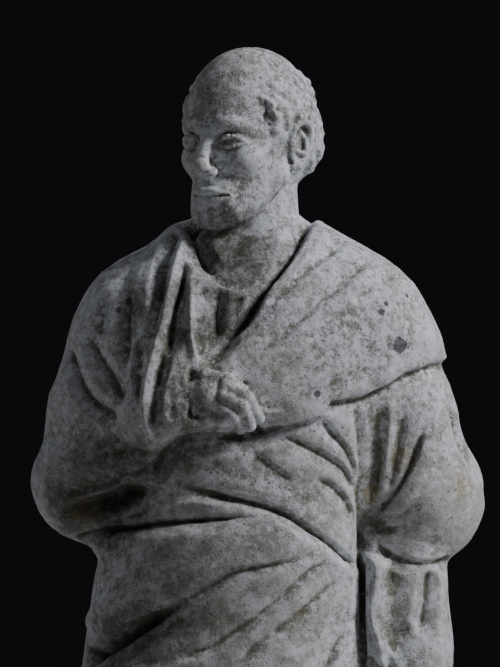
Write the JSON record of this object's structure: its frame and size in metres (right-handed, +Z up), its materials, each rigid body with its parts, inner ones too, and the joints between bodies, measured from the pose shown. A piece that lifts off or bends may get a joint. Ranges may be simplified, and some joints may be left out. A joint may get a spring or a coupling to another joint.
{
  "type": "marble statue of a standing orator",
  "caption": "Life-size standing figure in a draped mantle, one arm in its sling, carved in one block of marble with a low plinth.",
  "frame": {"origin": "middle of the plinth's underside, at the bottom centre of the bounding box", "axes": "+Z up through the figure, -Y to the front that the chest faces, +X to the figure's left"},
  "size_m": [0.64, 0.5, 1.8344],
  "materials": {
    "marble": "weathered, matt white marble with grey grime in the folds"
  },
  "bodies": {
    "root": {"orator_statue": "marble"}
  },
  "joints": []
}
